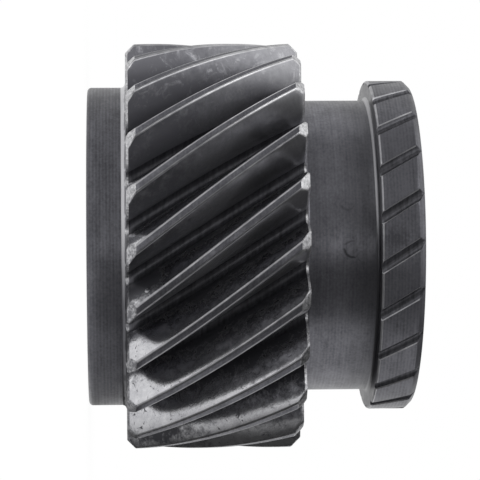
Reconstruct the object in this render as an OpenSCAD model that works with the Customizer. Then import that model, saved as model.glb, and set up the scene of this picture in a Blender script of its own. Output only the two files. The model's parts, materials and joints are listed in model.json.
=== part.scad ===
// Helical gear turned and hobbed from one piece of steel: a short hub, the toothed body,
// a slimmer neck and a collar. The hob runs on past the neck and grazes the collar, so the
// collar carries one slanting groove for each tooth gap. The gear stands on the end of its
// hub, with its axis upright. Sizes are in millimetres.

/* [Teeth] */
// Number of teeth
teeth = 22; // [20:1:25]
// Normal module, the size of the teeth square to their slant
normal_module = 2.5; // [2.3:0.05:2.75]
// Helix angle at the pitch circle, left hand
helix = 34.7; // [31:0.1:37]
// Pressure angle of the flanks, square to the slant
pressure = 19; // [18:0.5:21]
// Height of the teeth above the pitch circle
addendum = 3.75; // [3.3:0.01:3.9]
// Depth of the gaps below the pitch circle
dedendum = 3.84; // [3.5:0.01:4]
// Width of the flat land on top of each tooth
land_w = 1.55; // [1.2:0.05:1.9]
// Length of the toothed body along the axis
face_w = 31.45; // [24:0.05:40]
// Chamfer on both ends of each tooth
tooth_chamfer = 1.55; // [0.6:0.05:2.4]

/* [Hub] */
// Length of the hub
hub_len = 6.9; // [4:0.1:12]
// How far the hub lies below the floor of the tooth gaps
hub_below_root = 0.4; // [0.2:0.05:1]
// Rounding of the free edge of the hub
hub_round = 0.7; // [0.3:0.1:1.2]
// Fillet where the hub meets the toothed body
hub_fillet = 0.85; // [0.4:0.05:1.4]

/* [Neck] */
// Length of the neck between the toothed body and the collar
neck_len = 12.75; // [9:0.25:18]
// Step down from the hub to the neck
neck_step = 2.5; // [1.5:0.05:3.2]
// Fillet at both ends of the neck
neck_fillet = 0.65; // [0.3:0.05:1.2]

/* [Collar] */
// Length of the collar
collar_len = 7.7; // [5:0.1:11]
// How far the collar stands above the floor of the tooth gaps
groove_depth = 0.7; // [0.3:0.05:0.8]
// Chamfer on the free end of the collar
collar_chamfer = 1.07; // [0.5:0.01:1.6]
// Chamfer on the edge of the collar beside the neck
back_chamfer = 0.4; // [0.2:0.05:0.8]

/* [Bore] */
// Diameter of the bore
bore_d = 40; // [30:0.5:41]
// Lead-in chamfer at both ends of the bore
bore_chamfer = 1; // [0.5:0.1:1.5]

/* [Hidden] */
steel = [0.21, 0.21, 0.23];
// Heights of the shoulders above the hub end
body_z = hub_len;
neck_z = body_z + face_w;
collar_z = neck_z + neck_len;
length = collar_z + collar_len;
// Circles of the teeth, square to the axis
pitch_r = normal_module * teeth / cos(helix) / 2;
tip_r = pitch_r + addendum;
root_r = pitch_r - dedendum;
base_r = pitch_r * cos(atan(tan(pressure) / cos(helix)));
// Radii of the turned body
hub_r = root_r - hub_below_root;
neck_r = hub_r - neck_step;
collar_r = root_r + groove_depth;
bore_r = bore_d / 2;
// Turn of the helix for each millimetre along the axis
turn_per_mm = tan(helix) / pitch_r * 180 / PI;
// The cutters run past what they cut by this much
overrun = 1.3;
flank_steps = 4;
floor_steps = 6;
fillet_steps = 4;

// Pressure angle and involute angle at a radius, both in degrees
function press(r) = r > base_r ? acos(base_r / r) : 0;
function involute(r) = tan(press(r)) * 180 / PI - press(r);

// Half of the angle that a tooth gap takes up at a radius
tip_gap = 180 / teeth - land_w / tip_r * 90 / PI;
function gap_half(r) = tip_gap + involute(r) - involute(tip_r);

// A round floor that touches both flanks at radius r: its radius, centre and lowest point
function flank_slope(r) = press(r) + gap_half(r);
function floor_r(r) = r * sin(gap_half(r)) / cos(flank_slope(r));
function floor_centre(r) = r * cos(gap_half(r)) + floor_r(r) * sin(flank_slope(r));
function floor_low(r) = floor_centre(r) - floor_r(r);

// The radius at which the flanks run into a floor that just reaches the root circle
function meet(low, high, n) =
    n == 0 ? (low + high) / 2
    : floor_low((low + high) / 2) > root_r ? meet(low, (low + high) / 2, n - 1)
    : meet((low + high) / 2, high, n - 1);
meet_r = meet(root_r, tip_r, 40);

function polar(r, a) = [r * cos(a), r * sin(a)];
function arc(x, y, r, from, to, steps) =
    [for (i = [0:steps]) [x, y] + polar(r, from + (to - from) * i / steps)];

// One tooth gap square to the axis, from the middle of its floor out past the tips
function flank(side) =
    [for (i = [0:flank_steps])
        let (r = meet_r + (tip_r - meet_r) * i / flank_steps)
        polar(r, side * gap_half(r))];
function reversed(list) = [for (i = [len(list) - 1:-1:0]) list[i]];
slope = flank_slope(meet_r);
floor_arc = arc(floor_centre(meet_r), 0, floor_r(meet_r), 90 + slope, 270 - slope, floor_steps);
inner_arc = [for (i = [1:floor_steps - 1]) floor_arc[i]];
gap_outline = concat(
    [polar(tip_r + overrun, tip_gap)], reversed(flank(1)),
    inner_arc,
    flank(-1), [polar(tip_r + overrun, -tip_gap)]);
// Only the floor of the gap reaches the collar
groove_outline = concat(
    [polar(collar_r + overrun, gap_half(collar_r))], floor_arc,
    [polar(collar_r + overrun, -gap_half(collar_r))]);

// Half of the turned section, from the hub end round to the bore
body_outline = concat(
    [[bore_r + bore_chamfer, 0]],
    arc(hub_r - hub_round, hub_round, hub_round, -90, 0, fillet_steps),
    arc(hub_r + hub_fillet, body_z - hub_fillet, hub_fillet, 180, 90, fillet_steps),
    [[tip_r - tooth_chamfer, body_z], [tip_r, body_z + tooth_chamfer]],
    [[tip_r, neck_z - tooth_chamfer], [tip_r - tooth_chamfer, neck_z]],
    arc(neck_r + neck_fillet, neck_z + neck_fillet, neck_fillet, 270, 180, fillet_steps),
    arc(neck_r + neck_fillet, collar_z - neck_fillet, neck_fillet, 180, 90, fillet_steps),
    [[collar_r - back_chamfer, collar_z], [collar_r, collar_z + back_chamfer]],
    [[collar_r, length - collar_chamfer], [collar_r - collar_chamfer, length]],
    [[bore_r + bore_chamfer, length], [bore_r, length - bore_chamfer]],
    [[bore_r, bore_chamfer]]);

// The blank as it leaves the lathe
module turned_blank() {
    rotate_extrude($fn = 132) polygon(body_outline);
}

// An outline swept up the helix between two heights, once for each tooth gap
module hobbed(outline, from, to, slices) {
    for (i = [0:teeth - 1])
        translate([0, 0, from])
            rotate((i + 0.5) * 360 / teeth - from * turn_per_mm)
                linear_extrude(to - from, twist = (to - from) * turn_per_mm, slices = slices)
                    polygon(outline);
}

module helical_gear() {
    color(steel)
        difference() {
            turned_blank();
            hobbed(gap_outline, body_z - overrun, neck_z + overrun, 10);
            hobbed(groove_outline, collar_z - overrun, length + overrun, 3);
        }
}

helical_gear();
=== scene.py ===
# %% [markdown]
# A helical gear with a collar
#
# The real gear is one piece of steel. A lathe turned its blank: a short hub, a wide body, a slimmer neck
# and a collar. A hob, which is a cutter shaped like a worm, then rolled past the blank and left the
# slanting teeth. It ran on past the neck and grazed the collar, so the collar has one shallow groove for
# each tooth gap.
#
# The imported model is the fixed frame: it gives the size and place of everything made here.

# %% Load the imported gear
import json
from math import acos, atan, atan2, cos, hypot, pi, radians, sin, sqrt, tan

import bmesh
import bpy
from mathutils import Matrix, Vector


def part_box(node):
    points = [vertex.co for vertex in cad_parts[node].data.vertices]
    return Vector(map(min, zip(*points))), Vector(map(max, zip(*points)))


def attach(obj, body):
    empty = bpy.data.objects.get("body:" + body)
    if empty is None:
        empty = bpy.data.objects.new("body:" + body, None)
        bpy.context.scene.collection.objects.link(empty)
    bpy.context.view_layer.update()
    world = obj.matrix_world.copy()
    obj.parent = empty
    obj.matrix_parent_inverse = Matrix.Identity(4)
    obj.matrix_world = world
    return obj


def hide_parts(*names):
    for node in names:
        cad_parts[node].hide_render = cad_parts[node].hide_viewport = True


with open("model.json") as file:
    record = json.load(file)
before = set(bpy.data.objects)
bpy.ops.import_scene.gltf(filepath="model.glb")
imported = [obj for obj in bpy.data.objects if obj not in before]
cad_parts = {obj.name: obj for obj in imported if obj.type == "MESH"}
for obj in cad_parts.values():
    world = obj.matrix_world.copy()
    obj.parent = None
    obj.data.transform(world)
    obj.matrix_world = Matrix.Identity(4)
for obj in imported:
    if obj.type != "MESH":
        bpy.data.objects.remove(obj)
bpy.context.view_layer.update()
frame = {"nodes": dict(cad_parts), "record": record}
low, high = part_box("helical_gear")
print("nodes:", sorted(frame["nodes"]))

# %% [markdown]
# Sizes
#
# A gear is drawn from a few numbers. The normal module sets how big a tooth is, the number of teeth and
# the helix angle then give the pitch circle, and the rest is measured from that. Lengths are in
# millimetres until the mesh is made. The overall sizes and the bore come from the frame, so they can't
# drift from the solid. The land is 0.1 mm wider here than in the solid, as the breaks along its edges
# narrow it again.

# %% Sizes in millimetres
MM = 0.001
TEETH = 22
NORMAL_MODULE = 2.5
HELIX = radians(34.7)
PRESSURE = radians(19)
DEDENDUM = 3.84
LAND_W = 1.65
FACE_W = 31.45
TOOTH_CHAMFER = 1.55
HUB_LEN = 6.9
HUB_BELOW_ROOT = 0.4
HUB_ROUND = 0.7
HUB_FILLET = 0.85
NECK_LEN = 12.75
NECK_STEP = 2.5
NECK_FILLET = 0.65
GROOVE_DEPTH = 0.7
COLLAR_CHAMFER = 1.07
BACK_CHAMFER = 0.4
BORE_CHAMFER = 1.0

TIP_R = (high.x - low.x) / 2 / MM
LENGTH = (high.z - low.z) / MM
BORE_R = frame["record"]["mounts"][0]["dims"]["r_mm"]
PITCH_R = NORMAL_MODULE * TEETH / cos(HELIX) / 2
BASE_R = PITCH_R * cos(atan(tan(PRESSURE) / cos(HELIX)))
ROOT_R = PITCH_R - DEDENDUM
HUB_R = ROOT_R - HUB_BELOW_ROOT
NECK_R = HUB_R - NECK_STEP
COLLAR_R = ROOT_R + GROOVE_DEPTH
NECK_Z = HUB_LEN + FACE_W
COLLAR_Z = NECK_Z + NECK_LEN
HALF_PITCH = pi / TEETH
TURN = tan(HELIX) / PITCH_R
print(f"tip radius {TIP_R:.2f}, root radius {ROOT_R:.2f}, length {LENGTH:.2f} mm")

# %% [markdown]
# The tooth gap
#
# A tooth flank is an involute, the curve that the end of a taut thread draws as it unwinds from a circle.
# The hob's rounded tip leaves a round floor between two flanks. A gap could be drawn by eye with a
# spline, but the formula gives the true shape from three numbers and also says where the floor has to
# start.

# %% The involute flanks and the round floor
def press(r):
    return acos(BASE_R / r) if r > BASE_R else 0.0


def involute(r):
    return tan(press(r)) - press(r)


def gap_half(r):
    """Half of the angle that a tooth gap takes up at radius r."""
    return HALF_PITCH - LAND_W / TIP_R / 2 + involute(r) - involute(TIP_R)


def floor_touching(r):
    """Radius and centre of the round floor that touches both flanks at radius r."""
    slope = press(r) + gap_half(r)
    radius = r * sin(gap_half(r)) / cos(slope)
    return radius, r * cos(gap_half(r)) + radius * sin(slope)


below, above = ROOT_R, TIP_R
for _ in range(40):
    MEET_R = (below + above) / 2
    FLOOR_R, FLOOR_C = floor_touching(MEET_R)
    if FLOOR_C - FLOOR_R > ROOT_R:
        above = MEET_R
    else:
        below = MEET_R
print(f"floor radius {FLOOR_R:.2f} mm, flanks start at radius {MEET_R:.2f} mm")

# %% [markdown]
# One slice of the gear
#
# The gear is the same 22 times round, so only one slice is shaped, from the middle of one tooth to the
# middle of the next. Cutting gaps out of a blank with booleans would work too, but it leaves long thin
# faces that shade badly. Here a flat grid is wrapped into place instead: each column of it is a line
# along the tooth, and each row is a cut square to the axis. Rows run from the hub end, up the outside and
# back down the bore.
#
# Edges on the real gear aren't sharp. The lands have a fine break along each side, and the ends of the
# teeth were deburred, which leaves a narrow chamfer all round each gap. At the hub end that chamfer is
# hardly deeper than the gap, so it stays clear of the hub.

# %% Columns of the slice at one height
FLOOR_STEPS = 5
FLANK_STEPS = 8
BREAK_STEPS = 3
LAND_STEPS = 2
HALF = FLOOR_STEPS + FLANK_STEPS + BREAK_STEPS + LAND_STEPS
EDGE_BREAK = 0.3
CORNER = 0.12
CONE_R = TIP_R - TOOTH_CHAMFER
DEBURR = 0.42
DEBURR_EASE = 0.4
HUB_DEEPER = 0.1
NECK_DEEPER = 0.35
GROOVE_BREAK = 0.18
NARROWEST_GROOVE = radians(0.1)


def tooth_section(tip, deburr=0.0, floor_deburr=0.0):
    """Half of a tooth gap as (radius, angle) pairs, from the middle of its floor to that of the land.

    A deburred end is wider than the gap by up to deburr, and deeper by floor_deburr.
    """
    section = []
    slope = press(MEET_R) + gap_half(MEET_R)
    inset = floor_deburr
    for k in range(FLOOR_STEPS + 1):
        way = pi - (pi / 2 - slope) * k / FLOOR_STEPS
        x = FLOOR_C + (FLOOR_R + inset) * cos(way)
        y = (FLOOR_R + inset) * sin(way)
        section.append((hypot(x, y), atan2(y, x)))
    for k in range(1, FLANK_STEPS + 1):
        r = MEET_R + (tip - EDGE_BREAK - MEET_R) * k / FLANK_STEPS
        inset += (deburr - inset) * DEBURR_EASE
        section.append((r - inset * sin(press(r)), gap_half(r) + inset * cos(press(r)) / r))
    low_r, low_a = section[-1]
    sharp = gap_half(tip) + inset / tip
    start = sharp + EDGE_BREAK / tip
    for k in range(1, BREAK_STEPS):
        t = k / BREAK_STEPS
        r = low_r * (1 - t) ** 2 + tip * (2 - t) * t
        section.append((r, low_a * (1 - t) ** 2 + sharp * 2 * t * (1 - t) + start * t * t))
    for k in range(LAND_STEPS + 1):
        section.append((tip, start + (HALF_PITCH - start) * k / LAND_STEPS))
    return section


def groove_section(r):
    """Half of a collar groove, in as many columns, where the blank has radius r. Its edge is broken."""
    rim = r - max(0.0, min(GROOVE_BREAK, (r - ROOT_R) / 2))
    reach = (rim * rim + FLOOR_C ** 2 - FLOOR_R ** 2) / (2 * rim * FLOOR_C)
    edge = max(acos(min(1.0, reach)), NARROWEST_GROOVE)
    section = []
    for k in range(FLOOR_STEPS + 1):
        a = edge * k / FLOOR_STEPS
        floor = FLOOR_C * cos(a) - sqrt(FLOOR_R ** 2 - (FLOOR_C * sin(a)) ** 2)
        section.append((min(r, floor), a))
    start = edge + max(r - rim, CORNER / 2) / r
    steps = HALF - FLOOR_STEPS - 1
    for k in range(steps + 1):
        section.append((r, start + (HALF_PITCH - start) * k / steps))
    return section


hub_edge = tooth_section(CONE_R, DEBURR, HUB_DEEPER)
neck_edge = tooth_section(CONE_R, DEBURR, NECK_DEEPER)
tooth_angles = [a for _, a in hub_edge]
groove_angles = [a for _, a in groove_section(COLLAR_R)]
print(f"{2 * HALF} columns in a slice, {2 * HALF * TEETH} round the gear")

# %% [markdown]
# The rows come next. A row is a list of (radius, angle, height), and each strip between two rows has the
# name of the surface it belongs to, which later picks its finish. Where the hub meets the teeth, the
# round floor of a gap cuts into the hub's fillet, so there each column runs up the fillet only as far as
# its own gap lets it.

# %% Rows of the hub, the shoulder and the teeth
FILLET_STEPS = 4
HUB_STEPS = 4
SHOULDER_STEPS = 8
SHOULDER_CROWDING = 1.8
BODY_STEPS = 24
FACE_RING_R = BORE_R + 5
rows, strips = [], []


def add_rows(strip, new_rows):
    for row in new_rows:
        rows.append(row)
        strips.append(strip)


def plain_row(r, z, blend=0.0):
    """A row of one radius. Its columns are spaced as the teeth at blend 0, as the grooves at blend 1."""
    pairs = zip(tooth_angles, groove_angles)
    return [(r, a + (b - a) * blend, z) for a, b in pairs]


def corner(r, z, radius, start, end, blend=0.0):
    """Rows round a turned fillet or rounding about the point r, z."""
    turns = [start + (end - start) * k / FILLET_STEPS for k in range(FILLET_STEPS + 1)]
    return [plain_row(r + radius * cos(t), z + radius * sin(t), blend) for t in turns]


def shoulder_point(along):
    """The point of the shoulder that lies this far from the start of the hub's fillet."""
    bend = HUB_FILLET * pi / 2
    if along > bend:
        return HUB_R + HUB_FILLET + along - bend, HUB_LEN
    t = along / HUB_FILLET
    return HUB_R + HUB_FILLET * (1 - cos(t)), HUB_LEN - HUB_FILLET * (1 - sin(t))


def shoulder_length(r):
    """How far along the shoulder the radius r lies."""
    if r > HUB_R + HUB_FILLET:
        return HUB_FILLET * (pi / 2 - 1) + r - HUB_R
    return HUB_FILLET * acos(1 - (r - HUB_R) / HUB_FILLET)


def tooth_row(z, tip):
    return [(r, a, z) for r, a in tooth_section(tip)]


add_rows("end face", [plain_row(BORE_R + BORE_CHAMFER, 0), plain_row(FACE_RING_R, 0)])
add_rows("hub", corner(HUB_R - HUB_ROUND, HUB_ROUND, HUB_ROUND, -pi / 2, 0))
hub_run = HUB_LEN - HUB_FILLET - HUB_ROUND
for k in range(1, HUB_STEPS + 1):
    add_rows("hub", [plain_row(HUB_R, HUB_ROUND + hub_run * k / HUB_STEPS)])

for k in range(1, SHOULDER_STEPS + 1):
    share = (k / SHOULDER_STEPS) ** SHOULDER_CROWDING
    row = []
    for r, a in hub_edge:
        point_r, point_z = shoulder_point(shoulder_length(r) * share)
        row.append((point_r, a, point_z))
    add_rows("shoulder", [row])

end_rows = [
    (DEBURR, CONE_R + DEBURR),
    ((DEBURR + TOOTH_CHAMFER) / 2, CONE_R + (DEBURR + TOOTH_CHAMFER) / 2),
    (TOOTH_CHAMFER - CORNER, TIP_R - CORNER),
    (TOOTH_CHAMFER, TIP_R - CORNER / 3),
    (TOOTH_CHAMFER + CORNER, TIP_R),
]
add_rows("deburr", [tooth_row(HUB_LEN + end_rows[0][0], end_rows[0][1])])
add_rows("tooth end", [tooth_row(HUB_LEN + d, tip) for d, tip in end_rows[1:]])
body_low = HUB_LEN + end_rows[-1][0]
body_run = FACE_W - 2 * end_rows[-1][0]
for k in range(1, BODY_STEPS + 1):
    add_rows("tooth", [tooth_row(body_low + body_run * k / BODY_STEPS, TIP_R)])
add_rows("tooth end", [tooth_row(NECK_Z - d, tip) for d, tip in end_rows[-2::-1]])
add_rows("deburr", [[(r, a, NECK_Z) for r, a in neck_edge]])
print(f"{len(rows)} rows up to the end of the teeth")

# %% [markdown]
# The neck is plain, so its columns can drift from the spacing of the teeth to that of the grooves. On the
# collar the same helix leads each groove on from its gap. The collar's back edge is rounded, and its free
# end has a chamfer, with rows closest together where the grooves run out of it.

# %% Rows of the neck and the collar
FACE_STEPS = 3
NECK_STEPS = 6
BACK_RING = 0.8
BACK_STEPS = 5
COLLAR_STEPS = 6
LIP = 0.06
END_DROPS = (LIP, 0.16, 0.3, 0.4, 0.46, 0.52, COLLAR_CHAMFER - LIP)
neck_corner_r = NECK_R + NECK_FILLET
for k in range(1, FACE_STEPS):
    row = [(r + (neck_corner_r - r) * k / FACE_STEPS, a, NECK_Z) for r, a in neck_edge]
    add_rows("shoulder", [row])
add_rows("neck", corner(neck_corner_r, NECK_Z + NECK_FILLET, NECK_FILLET, -pi / 2, -pi))
neck_run = NECK_LEN - 2 * NECK_FILLET
for k in range(1, NECK_STEPS):
    z = NECK_Z + NECK_FILLET + neck_run * k / NECK_STEPS
    add_rows("neck", [plain_row(NECK_R, z, k / NECK_STEPS)])
fillet = corner(neck_corner_r, COLLAR_Z - NECK_FILLET, NECK_FILLET, pi, pi / 2, blend=1.0)
add_rows("neck", fillet[:1])
add_rows("neck fillet", fillet[1:])

back_r = COLLAR_R - BACK_CHAMFER
collar_line = [("collar back", back_r - BACK_RING, COLLAR_Z), ("collar back", back_r, COLLAR_Z)]
for k in range(1, BACK_STEPS + 1):
    turn = pi / 2 * k / BACK_STEPS
    z = COLLAR_Z + BACK_CHAMFER * (1 - cos(turn))
    collar_line.append(("collar edge", back_r + BACK_CHAMFER * sin(turn), z))
land_low = COLLAR_Z + BACK_CHAMFER
land_high = LENGTH - COLLAR_CHAMFER - LIP
for k in range(1, COLLAR_STEPS + 1):
    collar_line.append(("collar", COLLAR_R, land_low + (land_high - land_low) * k / COLLAR_STEPS))
for drop in END_DROPS:
    collar_line.append(("collar end", COLLAR_R - drop, LENGTH - COLLAR_CHAMFER + drop))
collar_line.append(("collar end", COLLAR_R - COLLAR_CHAMFER - LIP, LENGTH))
for strip, r, z in collar_line:
    add_rows(strip, [[(radius, a, z) for radius, a in groove_section(r)]])
print(f"{len(rows)} rows up to the end of the collar")

# %% [markdown]
# The bore brings the sheet back to where it began. Its columns turn with the helix too, so with few rows
# it would draw in between them like a twisted sleeve.

# %% Rows of the bore
BORE_STEPS = 12
bore_run = LENGTH - 2 * BORE_CHAMFER
bore_line = [("end face", FACE_RING_R, LENGTH), ("end face", BORE_R + BORE_CHAMFER, LENGTH)]
for k in range(BORE_STEPS + 1):
    bore_line.append(("bore", BORE_R, LENGTH - BORE_CHAMFER - bore_run * k / BORE_STEPS))
for strip, r, z in bore_line:
    add_rows(strip, [plain_row(r, z, z / LENGTH)])
add_rows("bore", [rows[0]])
print(f"{len(rows)} rows in all")

# %% [markdown]
# Wrapping and copying the slice
#
# The grid operator makes a flat sheet with one square for each column and row. Every corner of it then
# moves to its place, and the helix comes from turning each row back by an angle that grows with height.
# Spin copies the slice round the axis, and merging the doubled edges closes the gear into one skin.

# %% Wrap the grid and spin it round
MERGE_WITHIN = 0.001
SHARP_FROM = radians(34)
STEEL = ("turned steel", "fine turned steel", "drive flank", "coast flank", "hobbed floor", "broken edge",
         "rubbed rim", "filed end", "turned fillet")


def finish_of(strip, column):
    """The finish of one square of the grid, by its strip and its column from the middle of the gap."""
    steps = abs(column)
    in_floor = steps < FLOOR_STEPS
    in_flank = FLOOR_STEPS <= steps < FLOOR_STEPS + FLANK_STEPS
    in_break = FLOOR_STEPS + FLANK_STEPS <= steps < HALF - LAND_STEPS
    if strip == "tooth" and in_break:
        return "broken edge"
    if strip in ("tooth", "tooth end"):
        if in_floor:
            return "hobbed floor"
        if in_flank:
            return "drive flank" if column > 0 else "coast flank"
        return "fine turned steel" if strip == "tooth" else "filed end"
    if strip in ("collar", "collar edge", "collar end"):
        if in_floor:
            return "hobbed floor"
        if steps < FLOOR_STEPS + 1 and strip != "collar end":
            return "rubbed rim"
    by_strip = {"deburr": "filed end", "shoulder": "turned fillet", "collar edge": "rubbed rim",
                "neck": "fine turned steel", "neck fillet": "turned fillet"}
    return by_strip.get(strip, "turned steel")


sheet = bmesh.new()
bmesh.ops.create_grid(sheet, x_segments=2 * HALF, y_segments=len(rows) - 1, size=1)


def grid_place(point):
    """Column, counted from the middle of the gap, and row of a point of the flat grid."""
    return point.x * HALF, (point.y + 1) / 2 * (len(rows) - 1)


for face in sheet.faces:
    column, row = grid_place(face.calc_center_median())
    strip = strips[int(row) + 1]
    face.material_index = STEEL.index(finish_of(strip, column))
    face.smooth = True
for vert in sheet.verts:
    column, row = grid_place(vert.co)
    column, row = round(column), round(row)
    r, a, z = rows[row][abs(column)]
    way = HALF_PITCH + (a if column > 0 else -a) - TURN * z
    vert.co = Vector((r * cos(way), r * sin(way), z)) * MM

slice_parts = sheet.verts[:] + sheet.edges[:] + sheet.faces[:]
bmesh.ops.spin(sheet, geom=slice_parts, cent=(0, 0, 0), axis=(0, 0, 1), dvec=(0, 0, 0),
               angle=2 * pi * (TEETH - 1) / TEETH, steps=TEETH - 1, use_duplicate=True)
bmesh.ops.remove_doubles(sheet, verts=sheet.verts, dist=MERGE_WITHIN * MM)
bmesh.ops.recalc_face_normals(sheet, faces=sheet.faces)
gear_mesh = bpy.data.meshes.new("helical_gear_steel")
sheet.to_mesh(gear_mesh)
sheet.free()
gear_mesh.set_sharp_from_angle(angle=SHARP_FROM)
gear = bpy.data.objects.new("helical_gear_steel", gear_mesh)
bpy.context.scene.collection.objects.link(gear)
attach(gear, "root")
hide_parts("helical_gear")
print(f"gear skin: {len(gear_mesh.vertices)} points, {len(gear_mesh.polygons)} faces")

# %% [markdown]
# Finishes
#
# The whole gear is one steel, but each tool left its own surface on it. The blank was turned and then
# phosphated, a bath that leaves a thin cool charcoal coat. The flanks were ground, so they are bare and
# shiny, and they got brighter still where they ran against another gear. Edges lost their coat to
# handling.
#
# A picture could be wrapped round the gear, but patterns worked out from the gear's own coordinates stay
# sharp at any size and need no unwrapping. One small function adds a shader node with its settings and
# its links. Inputs go by name or by number. In a Map Range node 0 is the value, 1 and 2 are the range it
# comes from, and 3 and 4 the range it goes to. A Math node adds, unless it is told otherwise.
#
# Where a finish differs from one side of the gear to the other, that was set by comparing grey levels
# with the photo. Those differences from side to side are painted light and shade.

# %% Helpers for materials
def linear(hex_colour):
    """A hex colour such as 4a4a50 as linear red, green, blue and alpha."""
    parts = [int(hex_colour[i:i + 2], 16) / 255 for i in (0, 2, 4)]
    light = [c / 12.92 if c <= 0.04045 else ((c + 0.055) / 1.055) ** 2.4 for c in parts]
    return (*light, 1.0)


def add_node(tree, kind, inputs=None, **settings):
    """Add one node with its properties as settings.

    Inputs are values, sockets, or nodes that give their first output.
    """
    made = tree.nodes.new("ShaderNode" + kind)
    for name, value in settings.items():
        setattr(made, name, value)
    for name, value in (inputs or {}).items():
        if isinstance(value, bpy.types.Node):
            value = value.outputs[0]
        if isinstance(value, bpy.types.NodeSocket):
            tree.links.new(value, made.inputs[name])
        else:
            made.inputs[name].default_value = value
    return made


def new_material(name):
    """An empty material, its tree, and the place on the piece as a socket in it."""
    material = bpy.data.materials.new(name)
    material.use_nodes = True
    material.node_tree.nodes.clear()
    place = add_node(material.node_tree, "TexCoord").outputs["Object"]
    return material, material.node_tree, place


def repeats(x, y, z):
    """A pattern's scale along each axis, given as its repeats in one millimetre."""
    return x / MM, y / MM, z / MM


def spot(tree, place, centre, inner, outer, strength):
    """A round mark: full strength up to inner from its centre, and gone at outer, in millimetres."""
    reach = add_node(tree, "VectorMath", {0: place, 1: Vector(centre) * MM}, operation="DISTANCE")
    return add_node(tree, "MapRange", {
        0: reach.outputs["Value"], 1: inner * MM, 2: outer * MM, 3: strength, 4: 0.0})


def give_to_gear(material, tree, shader):
    """Close a material with its shader, and put it in the gear's next slot."""
    add_node(tree, "OutputMaterial", {"Surface": shader})
    gear_mesh.materials.append(material)
    print("made", material.name)


print("white is", linear("ffffff"), "and a mid grey", [round(c, 3) for c in linear("808080")])

# %% [markdown]
# Turned steel
#
# The hub, the neck, the collar and the lands were turned, then phosphated. The turning tool left rings
# round the axis: an even feed of 0.58 mm on the hub and the collar, and finer, uneven rings on the neck.
# The coat is grainy and a little patchy. To the eye that is a satin charcoal with fine lines across it.
# The even rings are a wave along the axis. The uneven ones are noise that changes fast along the axis and
# slowly across it. The grain of such a coat is finer than a pixel, so it is drawn coarser, at about half
# a millimetre, to show at all.
#
# The neck and the lands had a finer last cut and less coat, so they mirror more. They get the same
# pattern in other colours. As the photo has it, the colour is a little lighter towards the collar, which
# has one dark smudge. On one side of the gear the colour is darker: painted shade.

# %% Turned steel
FEED = 0.58
SMUDGE = (-2.2, -30.2, 53.4)
PAINTED_SHADE_SIDE = -36 * MM, -22 * MM
# A wave texture of scale 1 runs through 20 radians in each unit, so this scale gives one wave
ONE_WAVE = pi / 10
for name, dark, light, bare, show in (("phosphated_turned_steel", "4a4a4f", "6c6c72", 0.6, 0.25),
                                      ("fine_turned_steel", "5a5a60", "7e7e84", 0.8, 0.12)):
    material, tree, place = new_material(name)
    fed = add_node(tree, "Mapping", {"Vector": place, "Scale": repeats(0, 0, 1 / FEED)})
    waves = add_node(tree, "TexWave", {"Vector": fed, "Scale": ONE_WAVE}, bands_direction="Z")
    ringed = add_node(tree, "Mapping", {"Vector": place, "Scale": repeats(0.1, 0.1, 1.4)})
    rings = add_node(tree, "TexNoise", {"Vector": ringed, "Scale": 1.0, "Detail": 4.0, "Roughness": 0.7})
    grained = add_node(tree, "Mapping", {"Vector": place, "Scale": repeats(2.2, 2.2, 2.2)})
    grain = add_node(tree, "TexNoise", {"Vector": grained, "Scale": 1.0, "Detail": 2.0, "Roughness": 0.6})
    stained = add_node(tree, "Mapping", {"Vector": place, "Scale": repeats(0.25, 0.25, 0.25)})
    stains = add_node(tree, "TexNoise", {"Vector": stained, "Scale": 1.0, "Detail": 5.0, "Roughness": 0.6})
    uneven = add_node(tree, "Math", {0: rings, 1: stains})
    share = add_node(tree, "Math", {
        0: waves.outputs["Fac"], 1: show, 2: uneven}, operation="MULTIPLY_ADD")
    share = add_node(tree, "Math", {0: share, 1: grain})
    axes = add_node(tree, "SeparateXYZ", {0: place}).outputs
    lighter = add_node(tree, "MapRange", {0: axes["Z"], 1: NECK_Z * MM, 2: COLLAR_Z * MM, 3: 0.0, 4: 0.2})
    # Painted shade: the steel is painted darker on the side at negative X.
    darker = add_node(tree, "MapRange", {0: axes["X"], 1: PAINTED_SHADE_SIDE[0], 2: PAINTED_SHADE_SIDE[1], 3: -0.5, 4: 0.0})
    by_place = add_node(tree, "Math", {0: lighter, 1: darker})
    share = add_node(tree, "Math", {0: share, 1: by_place})
    share = add_node(tree, "Math", {0: share, 1: spot(tree, place, SMUDGE, 0.6, 3, -0.5)})
    share = add_node(tree, "MapRange", {0: share, 1: 1.1 + show / 2, 2: 1.9 + show / 2, 3: 0.0, 4: 1.0})
    colour = add_node(tree, "Mix", {
        "Factor": share, "A": linear(dark), "B": linear(light)}, data_type="RGBA")
    rough = add_node(tree, "MapRange", {0: share, 1: 0.0, 2: 1.0, 3: 0.4, 4: 0.3})
    relief = add_node(tree, "Bump", {"Strength": 0.25, "Distance": 0.02 * MM, "Height": rings})
    shader = add_node(tree, "BsdfPrincipled", {
        "Base Color": colour.outputs["Result"], "Roughness": rough, "Metallic": bare, "Normal": relief})
    give_to_gear(material, tree, shader)
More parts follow.
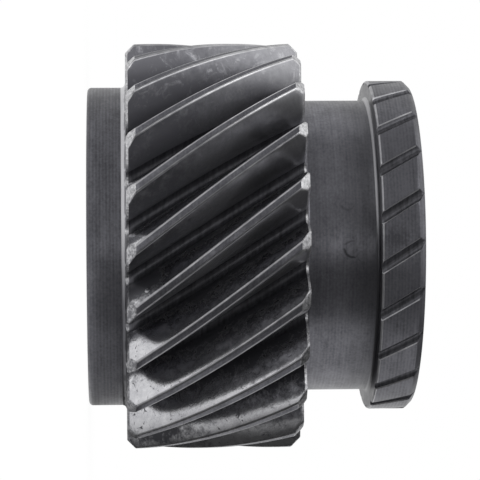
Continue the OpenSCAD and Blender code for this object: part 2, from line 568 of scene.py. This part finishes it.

# %% [markdown]
# In the photo there are two small scuffs on the neck, each part of a ring, and the neck is darker close
# to the collar, which is painted shade beside the collar's step. A scuff is the steel at one distance
# from a centre, on one side of it. The larger one has two sides, one deeper than the other. The fine
# turned steel was made last, so its tree, place, axes, colour and shader are still at hand here.

# %% Marks on the neck
LARGE_SCUFF = (-0.6, -26.7, 46.3)
SMALL_SCUFF = (-8.5, -25.3, 45.5)
SCUFF_CORE = 0.05
SCUFF_REACH = 0.42
SCUFF_FADE = 0.3
NECK_SHADE = (COLLAR_Z - 7) * MM, (COLLAR_Z - 1) * MM
# Painted shade: the neck is painted darker over its last millimetres before the collar.
marked = add_node(tree, "MapRange", {0: axes["Z"], 1: NECK_SHADE[0], 2: NECK_SHADE[1], 3: 0.0, 4: 0.55})
for centre, radius, side, start, depth in ((LARGE_SCUFF, 1.4, (0.78, 0, -0.62), 0.65, 0.8),
                                           (LARGE_SCUFF, 1.4, (-0.93, 0, -0.37), 1.0, 0.5),
                                           (SMALL_SCUFF, 1.15, (1, 0, 0), 0.1, 0.4)):
    offset = add_node(tree, "VectorMath", {0: place, 1: Vector(centre) * MM}, operation="SUBTRACT")
    reach = add_node(tree, "VectorMath", {0: offset}, operation="LENGTH").outputs["Value"]
    off_ring = add_node(tree, "Math", {0: reach, 1: radius * MM}, operation="SUBTRACT")
    off_ring = add_node(tree, "Math", {0: off_ring}, operation="ABSOLUTE")
    ring = add_node(tree, "MapRange", {
        0: off_ring, 1: SCUFF_CORE * MM, 2: SCUFF_REACH * MM, 3: depth, 4: 0.0})
    beside = add_node(tree, "VectorMath", {0: offset, 1: side}, operation="DOT_PRODUCT").outputs["Value"]
    beside = add_node(tree, "MapRange", {
        0: beside, 1: start * MM, 2: (start + SCUFF_FADE) * MM, 3: 0.0, 4: 1.0})
    scuff = add_node(tree, "Math", {0: ring, 1: beside}, operation="MULTIPLY")
    marked = add_node(tree, "Math", {0: marked, 1: scuff}, operation="MAXIMUM")
colour = add_node(tree, "Mix", {
    "Factor": marked, "A": colour.outputs["Result"], "B": linear("2c2c2f")}, data_type="RGBA")
tree.links.new(colour.outputs["Result"], shader.inputs["Base Color"])
print("marks on the neck in", material.name)

# %% [markdown]
# Drive flanks
#
# One flank of each tooth takes the load. It was ground, and then its mate polished it near the tip and at
# the hub end. Below that a dark film is still there, probably phosphate and burnt oil. To the eye it is a
# dull mirror with short scratches across the tooth, which ends at the film in a ragged line, and a few
# dark pits. Most of the real scratches are finer than a pixel, so they are drawn coarser, at about a
# millimetre with finer ones on them.
#
# The film could be painted by hand. Here it follows two numbers that come from the gear's own
# coordinates, the height on the tooth and the way along it. In the photo the teeth also differ by side,
# and that is painted light and shade. On one side the bare band is painted wider, a painted sheen, and
# the last tooth there is painted dull at the hub end, a painted shade. Another tooth is painted dull at
# the hub end too, a painted shade, but for one bright chip.

# %% How high the film reaches on the drive flanks
PAINTED_SHADE_SPOT = (6.5, -34.5, 9)
CHIP = (5.7, -35, 10.5)
FILM_RISE = (HUB_LEN + 2) * MM, (HUB_LEN + 13) * MM
PAINTED_SHEEN_SIDE = 24 * MM, 32 * MM
SHADED_TOOTH_SIDE = 30.5 * MM, 32.5 * MM
SHADED_TOOTH_END = (HUB_LEN + 8) * MM, (HUB_LEN + 18) * MM


def tooth_height(tree, place):
    """The height on a tooth, from 0 where its flanks start to 1 at its tip."""
    flat = add_node(tree, "VectorMath", {0: place, 1: (1, 1, 0)}, operation="MULTIPLY")
    radius = add_node(tree, "VectorMath", {0: flat}, operation="LENGTH").outputs["Value"]
    return add_node(tree, "MapRange", {0: radius, 1: MEET_R * MM, 2: TIP_R * MM, 3: 0.0, 4: 1.0})


material, tree, place = new_material("run_in_ground_steel")
height = tooth_height(tree, place)
axes = add_node(tree, "SeparateXYZ", {0: place}).outputs
film_and_painted_light_top = add_node(tree, "MapRange", {0: axes["Z"], 1: FILM_RISE[0], 2: FILM_RISE[1], 3: 0.1, 4: 0.64})
# Painted light: the bare band is made wider on the side at positive X.
painted_sheen = add_node(tree, "MapRange", {0: axes["X"], 1: PAINTED_SHEEN_SIDE[0], 2: PAINTED_SHEEN_SIDE[1], 3: 1.0, 4: 0.5})
film_and_painted_light_top = add_node(tree, "Math", {0: film_and_painted_light_top, 1: painted_sheen}, operation="MULTIPLY")
# Painted shade: the last tooth at positive X is covered in film near the hub end.
shaded_tooth = add_node(tree, "MapRange", {0: axes["X"], 1: SHADED_TOOTH_SIDE[0], 2: SHADED_TOOTH_SIDE[1], 3: 0.0, 4: 1.0})
near_hub = add_node(tree, "MapRange", {0: axes["Z"], 1: SHADED_TOOTH_END[0], 2: SHADED_TOOTH_END[1], 3: 0.95, 4: 0.0})
film_and_painted_light_top = add_node(tree, "Math", {0: shaded_tooth, 1: near_hub, 2: film_and_painted_light_top}, operation="MULTIPLY_ADD")
# Painted shade: one tooth is covered in film round a spot at the hub end, with a bare chip in it.
film_and_painted_light_top = add_node(tree, "Math", {0: film_and_painted_light_top, 1: spot(tree, place, PAINTED_SHADE_SPOT, 4, 7, 0.95)})
film_and_painted_light_top = add_node(tree, "Math", {0: film_and_painted_light_top, 1: spot(tree, place, CHIP, 0.4, 0.65, -2.5)})
print("nodes so far in", material.name, len(tree.nodes))

# %% [markdown]
# What stands clear of the film is bare. The scratches also shift the border of the film up and down, so
# that it is ragged, and the pits are small dark places in the bare steel.

# %% Bare steel and film on the drive flanks
scratched = add_node(tree, "Mapping", {"Vector": place, "Scale": repeats(1.0, 1.0, 1.3)})
scratches = add_node(tree, "TexNoise", {
    "Vector": scratched, "Scale": 1.0, "Detail": 6.0, "Roughness": 0.75, "Distortion": 0.8})
waved = add_node(tree, "Mapping", {"Vector": place, "Scale": repeats(0.5, 0.5, 0.5)})
waves = add_node(tree, "TexNoise", {"Vector": waved, "Scale": 1.0, "Detail": 4.0, "Roughness": 0.6})
grain = add_node(tree, "Math", {0: scratches, 1: waves})

clear = add_node(tree, "Math", {0: height, 1: film_and_painted_light_top}, operation="SUBTRACT")
ragged = add_node(tree, "MapRange", {0: grain, 1: 0.7, 2: 1.3, 3: -0.42, 4: 0.42})
clear = add_node(tree, "Math", {0: clear, 1: ragged})
bare = add_node(tree, "MapRange", {0: clear, 1: -0.35, 2: 0.25, 3: 0.0, 4: 1.0})
pitted = add_node(tree, "Mapping", {"Vector": place, "Scale": repeats(0.9, 0.9, 0.9)})
pits = add_node(tree, "TexNoise", {
    "Vector": pitted, "Scale": 1.0, "Detail": 3.0, "Roughness": 0.6, "Distortion": 1.0})
pits = add_node(tree, "MapRange", {0: pits, 1: 0.63, 2: 0.68, 3: 1.0, 4: 0.1})
bare = add_node(tree, "Math", {0: bare, 1: pits}, operation="MULTIPLY")
share = add_node(tree, "MapRange", {0: grain, 1: 0.75, 2: 1.25, 3: 0.0, 4: 1.0})
colour = add_node(tree, "Mix", {
    "Factor": share, "A": linear("b8b8bc"), "B": linear("d6d6d9")}, data_type="RGBA")
colour = add_node(tree, "Mix", {
    "Factor": bare, "A": linear("4c4c51"), "B": colour.outputs["Result"]}, data_type="RGBA")
rough = add_node(tree, "MapRange", {0: bare, 1: 0.0, 2: 1.0, 3: 0.34, 4: 0.18})
metal = add_node(tree, "MapRange", {0: bare, 1: 0.0, 2: 0.5, 3: 0.6, 4: 1.0})
relief = add_node(tree, "Bump", {"Strength": 0.3, "Distance": 0.06 * MM, "Height": grain})
shader = add_node(tree, "BsdfPrincipled", {
    "Base Color": colour.outputs["Result"], "Roughness": rough, "Metallic": metal, "Normal": relief})
give_to_gear(material, tree, shader)

# %% [markdown]
# Coast flanks
#
# The other flank only carries load when the gear slows its shaft, so it kept most of its film. It is
# duller and softer than the drive flank. In the photo the film is dry and pale deep in the gap and dark
# near the tip. On the teeth of one side the tips are painted pale too and the film is smeared more:
# painted light.
# The steel gets lighter towards the collar along each tooth, as if the film wore away there first. The
# film's grain is drawn as coarse as that of the turned steel, for the same reason.

# %% Coast flanks
PAINTED_LIGHT_TIPS_SIDE = -33 * MM, -14 * MM
WORN_END = (HUB_LEN + 8) * MM, NECK_Z * MM
material, tree, place = new_material("filmed_ground_steel")
height = tooth_height(tree, place)
axes = add_node(tree, "SeparateXYZ", {0: place}).outputs
# Painted light: on the side at negative X the tips are painted pale, with more bare steel.
away_from_painted_light = add_node(tree, "MapRange", {0: axes["X"], 1: PAINTED_LIGHT_TIPS_SIDE[0], 2: PAINTED_LIGHT_TIPS_SIDE[1], 3: 0.0, 4: 1.0})
thin = add_node(tree, "Math", {0: 1.0, 1: away_from_painted_light}, operation="SUBTRACT")
deep = add_node(tree, "Math", {0: 1.0, 1: height}, operation="SUBTRACT")
deep = add_node(tree, "Math", {0: deep, 1: thin}, operation="MULTIPLY")
height = add_node(tree, "Math", {0: height, 1: away_from_painted_light}, operation="MULTIPLY")
along = add_node(tree, "MapRange", {0: axes["Z"], 1: WORN_END[0], 2: WORN_END[1], 3: 0.0, 4: 0.8})
clouded = add_node(tree, "Mapping", {"Vector": place, "Scale": repeats(0.4, 0.4, 0.5)})
clouds = add_node(tree, "TexNoise", {"Vector": clouded, "Scale": 1.0, "Detail": 5.0, "Roughness": 0.62})
smeared = add_node(tree, "Mapping", {"Vector": place, "Scale": repeats(0.3, 0.3, 0.35)})
smears = add_node(tree, "TexNoise", {
    "Vector": smeared, "Scale": 1.0, "Detail": 7.0, "Roughness": 0.75, "Distortion": 1.4})
smears = add_node(tree, "MapRange", {0: smears, 1: 0.52, 2: 0.68, 3: 0.0, 4: 0.65})
# Painted light: the smears are stronger on the side at negative X.
rubbed = add_node(tree, "MapRange", {0: away_from_painted_light, 1: 0.0, 2: 0.6, 3: 1.0, 4: 0.2})
rubbed = add_node(tree, "Math", {0: smears, 1: rubbed}, operation="MULTIPLY")
wear_and_painted_light = add_node(tree, "Math", {0: clouds, 1: 0.6, 2: along}, operation="MULTIPLY_ADD")
wear_and_painted_light = add_node(tree, "Math", {0: wear_and_painted_light, 1: rubbed})
wear_and_painted_light = add_node(tree, "Math", {0: deep, 1: -0.4, 2: wear_and_painted_light}, operation="MULTIPLY_ADD")
grained = add_node(tree, "Mapping", {"Vector": place, "Scale": repeats(2.2, 2.2, 2.2)})
grain = add_node(tree, "TexNoise", {"Vector": grained, "Scale": 1.0, "Detail": 2.0, "Roughness": 0.6})
wear_and_painted_light = add_node(tree, "Math", {0: grain, 1: 0.25, 2: wear_and_painted_light}, operation="MULTIPLY_ADD")
wear_and_painted_light = add_node(tree, "MapRange", {0: wear_and_painted_light, 1: 0.41, 2: 1.41, 3: 0.0, 4: 1.0})
film = add_node(tree, "Mix", {
    "Factor": height, "A": linear("6e6e74"), "B": linear("2a2a2d")}, data_type="RGBA")
colour = add_node(tree, "Mix", {
    "Factor": wear_and_painted_light, "A": film.outputs["Result"], "B": linear("bcbcc0")}, data_type="RGBA")
rough = add_node(tree, "MapRange", {0: wear_and_painted_light, 1: 0.0, 2: 1.0, 3: 0.42, 4: 0.26})
metal = add_node(tree, "MapRange", {0: wear_and_painted_light, 1: 0.0, 2: 0.5, 3: 0.42, 4: 0.95})
relief = add_node(tree, "Bump", {"Strength": 0.25, "Distance": 0.05 * MM, "Height": clouds})
shader = add_node(tree, "BsdfPrincipled", {
    "Base Color": colour.outputs["Result"], "Roughness": rough, "Metallic": metal, "Normal": relief})
give_to_gear(material, tree, shader)

# %% [markdown]
# Hobbed floors
#
# The grinding wheel doesn't reach the floor of a gap, or the grooves on the collar, so both are as the
# hob and the phosphate bath left them: dark, with the hob's feed marks.

# %% Hobbed floors
material, tree, place = new_material("phosphated_hobbed_steel")
marked = add_node(tree, "Mapping", {"Vector": place, "Scale": repeats(0.5, 0.5, 2.0)})
marks = add_node(tree, "TexNoise", {"Vector": marked, "Scale": 1.0, "Detail": 3.0, "Roughness": 0.5})
share = add_node(tree, "MapRange", {0: marks, 1: 0.3, 2: 0.7, 3: 0.0, 4: 1.0})
colour = add_node(tree, "Mix", {
    "Factor": share, "A": linear("404044"), "B": linear("606065")}, data_type="RGBA")
shader = add_node(tree, "BsdfPrincipled", {
    "Base Color": colour.outputs["Result"], "Roughness": 0.38, "Metallic": 0.7})
give_to_gear(material, tree, shader)

# %% [markdown]
# Broken edges
#
# A sharp edge chips, so the edges of the lands were brushed to a small bevel after coating. They are bare
# steel, and show as thin bright lines that waver a little. In the photo they are brightest on one side,
# towards the collar, and there their colour is a painted highlight. The collar's rim beside the neck and
# the edges of its grooves are only rubbed, so they are softer and less of a mirror.

# %% Broken edges
HIGHLIGHT_SIDE = -26 * MM, -21 * MM
HIGHLIGHT_END = (HUB_LEN + 9) * MM, (HUB_LEN + 17) * MM
for name, bare, side_highlight in (("brushed_edge_steel", 0.95, 0.5), ("rubbed_rim_steel", 0.7, 0.0)):
    material, tree, place = new_material(name)
    brushed = add_node(tree, "Mapping", {"Vector": place, "Scale": repeats(0.5, 0.5, 0.5)})
    wavers = add_node(tree, "TexNoise", {"Vector": brushed, "Scale": 1.0, "Detail": 4.0, "Roughness": 0.6})
    share = add_node(tree, "MapRange", {0: wavers, 1: 0.3, 2: 0.7, 3: 0.0, 4: 0.4})
    axes = add_node(tree, "SeparateXYZ", {0: place}).outputs
    # Painted highlight: on the side at negative X, towards the collar, the edges are painted brighter.
    aside = add_node(tree, "MapRange", {
        0: axes["X"], 1: HIGHLIGHT_SIDE[0], 2: HIGHLIGHT_SIDE[1], 3: side_highlight, 4: 0.0})
    along = add_node(tree, "MapRange", {0: axes["Z"], 1: HIGHLIGHT_END[0], 2: HIGHLIGHT_END[1], 3: 0.0, 4: 1.0})
    share = add_node(tree, "Math", {0: aside, 1: along, 2: share}, operation="MULTIPLY_ADD")
    colour = add_node(tree, "Mix", {
        "Factor": share, "A": linear("88888c"), "B": linear("e0e0e2")}, data_type="RGBA")
    shader = add_node(tree, "BsdfPrincipled", {
        "Base Color": colour.outputs["Result"], "Roughness": 0.34, "Metallic": bare})
    give_to_gear(material, tree, shader)

# %% [markdown]
# Filed ends
#
# The chamfers on the ends of the teeth and the rims of the gaps were filed by hand to take the hob's burr
# off. They are bare and rough, with bits of burr left, so they sparkle unevenly. The marks of a fine file
# are finer than a pixel, so they are drawn coarser, at about half a millimetre. As in the photo, the
# filed steel is brighter at the neck end. On one side of the gear it is painted lighter, and on the other
# darker: painted light and shade.

# %% Filed ends
FILED_LIGHT_SIDE = -12 * MM, 10 * MM
material, tree, place = new_material("filed_end_steel")
nicked = add_node(tree, "Mapping", {"Vector": place, "Scale": repeats(1.8, 1.8, 1.8)})
nicks = add_node(tree, "TexNoise", {"Vector": nicked, "Scale": 1.0, "Detail": 5.0, "Roughness": 0.72})
axes = add_node(tree, "SeparateXYZ", {0: place}).outputs
filed = add_node(tree, "MapRange", {0: axes["Z"], 1: HUB_LEN * MM, 2: NECK_Z * MM, 3: 0.0, 4: 0.08})
# Painted light and shade: lighter on the side at negative X, darker at positive X.
side = add_node(tree, "MapRange", {0: axes["X"], 1: FILED_LIGHT_SIDE[0], 2: FILED_LIGHT_SIDE[1], 3: 0.06, 4: -0.12})
filed = add_node(tree, "Math", {0: filed, 1: side})
filed = add_node(tree, "Math", {0: nicks, 1: filed})
share = add_node(tree, "MapRange", {0: filed, 1: 0.34, 2: 0.8, 3: 0.0, 4: 1.0})
colour = add_node(tree, "Mix", {
    "Factor": share, "A": linear("6c6c70"), "B": linear("f2f2f4")}, data_type="RGBA")
relief = add_node(tree, "Bump", {"Strength": 0.5, "Distance": 0.08 * MM, "Height": nicks})
shader = add_node(tree, "BsdfPrincipled", {
    "Base Color": colour.outputs["Result"], "Roughness": 0.36, "Metallic": 0.9, "Normal": relief})
give_to_gear(material, tree, shader)

# %% [markdown]
# Turned fillets
#
# The fillets beside the hub and the collar were turned with a finer feed, and their coat is rubbed. They
# read as a lighter line round the gear, in the photo most of all at the hub and on one side. On that side
# the line is a painted highlight, and beside the collar the fillet is painted darker: painted shade in
# the corner against the collar.

# %% Turned fillets
FILLET_HIGHLIGHT_SIDE = -6 * MM, 10 * MM
material, tree, place = new_material("rubbed_turned_steel")
ringed = add_node(tree, "Mapping", {"Vector": place, "Scale": repeats(0.1, 0.1, 3.0)})
rings = add_node(tree, "TexNoise", {"Vector": ringed, "Scale": 1.0, "Detail": 3.0, "Roughness": 0.5})
axes = add_node(tree, "SeparateXYZ", {0: place}).outputs
# Painted highlight on the side at negative X, and painted shade at positive X.
side = add_node(tree, "MapRange", {0: axes["X"], 1: FILLET_HIGHLIGHT_SIDE[0], 2: FILLET_HIGHLIGHT_SIDE[1], 3: 0.55, 4: -0.3})
# Painted shade: the fillet beside the collar is painted darker.
along = add_node(tree, "MapRange", {0: axes["Z"], 1: NECK_Z * MM, 2: COLLAR_Z * MM, 3: 0.0, 4: -0.55})
by_place = add_node(tree, "Math", {0: side, 1: along})
share = add_node(tree, "Math", {0: rings, 1: 0.5, 2: by_place}, operation="MULTIPLY_ADD")
share = add_node(tree, "MapRange", {0: share, 1: 0.0, 2: 1.0, 3: 0.0, 4: 1.0})
colour = add_node(tree, "Mix", {
    "Factor": share, "A": linear("5c5c60"), "B": linear("d0d0d3")}, data_type="RGBA")
shader = add_node(tree, "BsdfPrincipled", {
    "Base Color": colour.outputs["Result"], "Roughness": 0.32, "Metallic": 0.85})
give_to_gear(material, tree, shader)
print("materials:", [m.name for m in gear_mesh.materials])

# %% [markdown]
# Camera
#
# The camera looks square at the gear's side from less than half a metre away, with a long lens. It is
# turned on its side, so that the gear's upright axis lies across the picture with the hub to the left.

# %% Camera
CAMERA_AZIMUTH = radians(-92.75)
CAMERA_DISTANCE = 434.1
CAMERA_Z = 6.28
CAMERA_LIFT = 1.03
CAMERA_YAW = radians(2.859)
CAMERA_ROLL = radians(0.356)
FOCAL_PIXELS = 2349.3
FRAME_PIXELS = 480
SENSOR_WIDTH = 36
NEAR_CLIP = 0.01

away = Vector((cos(CAMERA_AZIMUTH), sin(CAMERA_AZIMUTH), 0))
axis = Vector((0, 0, 1))
picture_up = away.cross(axis)
forward = -away * cos(CAMERA_YAW) + axis * sin(CAMERA_YAW)
right = axis * cos(CAMERA_YAW) + away * sin(CAMERA_YAW)
up = picture_up * cos(CAMERA_ROLL) + right * sin(CAMERA_ROLL)
right = right * cos(CAMERA_ROLL) - picture_up * sin(CAMERA_ROLL)
place = (away * CAMERA_DISTANCE + axis * CAMERA_Z + picture_up * CAMERA_LIFT) * MM

camera_data = bpy.data.cameras.new("camera")
camera_data.sensor_width = SENSOR_WIDTH
camera_data.lens = SENSOR_WIDTH * FOCAL_PIXELS / FRAME_PIXELS
camera_data.clip_start = NEAR_CLIP
camera = bpy.data.objects.new("camera", camera_data)
turned = Matrix((right, up, -forward)).transposed().to_4x4()
camera.matrix_world = Matrix.Translation(place) @ turned
bpy.context.scene.collection.objects.link(camera)
bpy.context.scene.camera = camera
print(f"lens {camera_data.lens:.1f} mm, picture up is {tuple(round(c, 2) for c in picture_up)}")

# %% [markdown]
# Floor
#
# The gear stands on a white card. The camera sees the card as white, with a little of its real shading
# left in so that the shadow stays. The steel mirrors it too: most of it white, with a painted shadow, a
# darker stretch beside the gear, placed so that the flanks mirror light and dark as they do in the photo.

# %% Floor
FLOOR_HALF = 1.5
CARD_WHITE = 1.035
WHITE_SHARE = 0.93
SHADE = 0.06
SLANT = (1, -0.7, 0)
SLANTED_EDGE = 44 * MM, 66 * MM
STRAIGHT_EDGE = 26 * MM, 46 * MM
FAR_BEHIND = 60 * MM, 160 * MM
FAR_BESIDE = 150 * MM, 300 * MM
sheet = bmesh.new()
bmesh.ops.create_grid(sheet, x_segments=1, y_segments=1, size=FLOOR_HALF)
floor_mesh = bpy.data.meshes.new("floor")
sheet.to_mesh(floor_mesh)
sheet.free()
floor = bpy.data.objects.new("floor", floor_mesh)
bpy.context.scene.collection.objects.link(floor)

material, tree, place = new_material("white_card")
card = add_node(tree, "BsdfDiffuse", {"Color": linear("f4f4f4")})
white = add_node(tree, "Emission", {"Color": (1, 1, 1, 1), "Strength": CARD_WHITE})
# Painted shadow: what the steel mirrors of the card drops to a shade beside the gear.
across = add_node(tree, "VectorMath", {0: place, 1: SLANT}, operation="DOT_PRODUCT").outputs["Value"]
slanted = add_node(tree, "MapRange", {
    0: across, 1: SLANTED_EDGE[0], 2: SLANTED_EDGE[1], 3: 1.0, 4: SHADE})
axes = add_node(tree, "SeparateXYZ", {0: place}).outputs
straight = add_node(tree, "MapRange", {
    0: axes["X"], 1: STRAIGHT_EDGE[0], 2: STRAIGHT_EDGE[1], 3: 1.0, 4: SHADE})
shade = add_node(tree, "Math", {0: slanted, 1: straight}, operation="MINIMUM")
behind = add_node(tree, "MapRange", {0: axes["Y"], 1: FAR_BEHIND[0], 2: FAR_BEHIND[1], 3: 0.0, 4: 0.8})
shade = add_node(tree, "Math", {0: shade, 1: behind}, operation="MAXIMUM")
further = add_node(tree, "MapRange", {0: axes["X"], 1: FAR_BESIDE[0], 2: FAR_BESIDE[1], 3: 0.0, 4: 0.35})
level = add_node(tree, "Math", {0: shade, 1: further})
shaded = add_node(tree, "Emission", {"Color": (1, 1, 1, 1), "Strength": level})
path = add_node(tree, "LightPath").outputs
mirrored = add_node(tree, "MixShader", {0: path["Is Glossy Ray"], 1: card, 2: shaded})
share = add_node(tree, "Math", {0: path["Is Camera Ray"], 1: WHITE_SHARE}, operation="MULTIPLY")
mixed = add_node(tree, "MixShader", {0: share, 1: mirrored, 2: white})
add_node(tree, "OutputMaterial", {"Surface": mixed})
floor_mesh.materials.append(material)
print("floor", tuple(round(c, 2) for c in floor.dimensions))

# %% [markdown]
# The room
#
# Shiny steel is mostly a picture of the room round it. The room here is plain: a white ceiling, pale
# walls to both sides, and a dim space on the camera's side, fitted to what the flanks mirror in the
# photo. It is drawn for mirrored rays only, as fades between two cosines of the angle from a direction.
# Rays that light the steel softly get one even level, and the camera itself sees white.

# %% Room
CAMERA_SIDE = away + picture_up * 0.25
EVEN_LIGHT = 0.6
world = bpy.data.worlds.new("studio")
bpy.context.scene.world = world
world.use_nodes = True
tree = world.node_tree
tree.nodes.clear()
way = add_node(tree, "TexCoord").outputs["Generated"]
to_top = add_node(tree, "VectorMath", {0: way, 1: picture_up}, operation="DOT_PRODUCT").outputs["Value"]
to_camera = add_node(tree, "VectorMath", {
    0: way, 1: CAMERA_SIDE}, operation="DOT_PRODUCT").outputs["Value"]
to_ceiling = add_node(tree, "VectorMath", {0: way, 1: axis}, operation="DOT_PRODUCT").outputs["Value"]

dim = add_node(tree, "MapRange", {
    0: to_top, 1: -0.35, 2: 0.1, 3: 0.02, 4: 0.27}, interpolation_type="SMOOTHSTEP")
wall = add_node(tree, "MapRange", {
    0: to_camera, 1: 0.5, 2: 0.0, 3: 0.0, 4: 0.85}, interpolation_type="SMOOTHSTEP")
below = add_node(tree, "MapRange", {
    0: to_ceiling, 1: 0.35, 2: 0.65, 3: 1.0, 4: 0.0}, interpolation_type="SMOOTHSTEP")
wall = add_node(tree, "Math", {0: wall, 1: below}, operation="MULTIPLY")
above = add_node(tree, "MapRange", {
    0: to_ceiling, 1: 0.4, 2: 0.75, 3: 0.0, 4: 1.0}, interpolation_type="SMOOTHSTEP")
bright = add_node(tree, "MapRange", {
    0: to_top, 1: -0.3, 2: 0.1, 3: 0.06, 4: 1.0}, interpolation_type="SMOOTHSTEP")
ceiling = add_node(tree, "Math", {0: above, 1: bright}, operation="MULTIPLY")
sides = add_node(tree, "Math", {0: dim, 1: wall}, operation="MAXIMUM")
level = add_node(tree, "Math", {0: sides, 1: ceiling}, operation="MAXIMUM")

path = add_node(tree, "LightPath").outputs
even = add_node(tree, "Background", {"Color": (1, 1, 1, 1), "Strength": EVEN_LIGHT})
room = add_node(tree, "Background", {"Color": (1, 1, 1, 1), "Strength": level})
white = add_node(tree, "Background", {"Color": (1, 1, 1, 1), "Strength": 1.0})
lit = add_node(tree, "MixShader", {0: path["Is Glossy Ray"], 1: even, 2: room})
clear = add_node(tree, "Math", {
    0: path["Is Camera Ray"], 1: path["Is Transmission Ray"]}, operation="MAXIMUM")
seen = add_node(tree, "MixShader", {0: clear, 1: lit, 2: white})
add_node(tree, "OutputWorld", {"Surface": seen})
print("room nodes:", len(tree.nodes))

# %% [markdown]
# Lamps
#
# Two softboxes face the gear: a weak one close to the camera, which puts the pale band along the middle
# of the turned surfaces, and a stronger one up to the right, which draws the bright lines along the upper
# teeth.

# %% Lamps
TARGET = axis * LENGTH / 2 * MM
FILL_PLACE = away * 0.6 + picture_up * 0.01 + axis * 0.03
KEY_PLACE = away * 0.33 + picture_up * 0.28 + axis * 0.42


def softbox(name, place, size, radiance):
    """A square lamp that faces the gear. Radiance 1 looks as white as the background."""
    lamp = bpy.data.lights.new(name, "AREA")
    lamp.shape = "SQUARE"
    lamp.size = size
    lamp.energy = radiance * pi * size * size
    made = bpy.data.objects.new(name, lamp)
    made.location = place
    made.rotation_euler = (TARGET - place).to_track_quat("-Z", "Y").to_euler()
    bpy.context.scene.collection.objects.link(made)
    print(f"{name}: {lamp.energy:.3f} W at {(TARGET - place).length:.2f} m")


softbox("fill_lamp", FILL_PLACE, size=0.16, radiance=1.25)
softbox("key_softbox", KEY_PLACE, size=0.2, radiance=2.4)

# %% [markdown]
# View transform
#
# The picture uses the Standard view transform.

# %% Set the view transform
bpy.context.scene.view_settings.view_transform = "Standard"
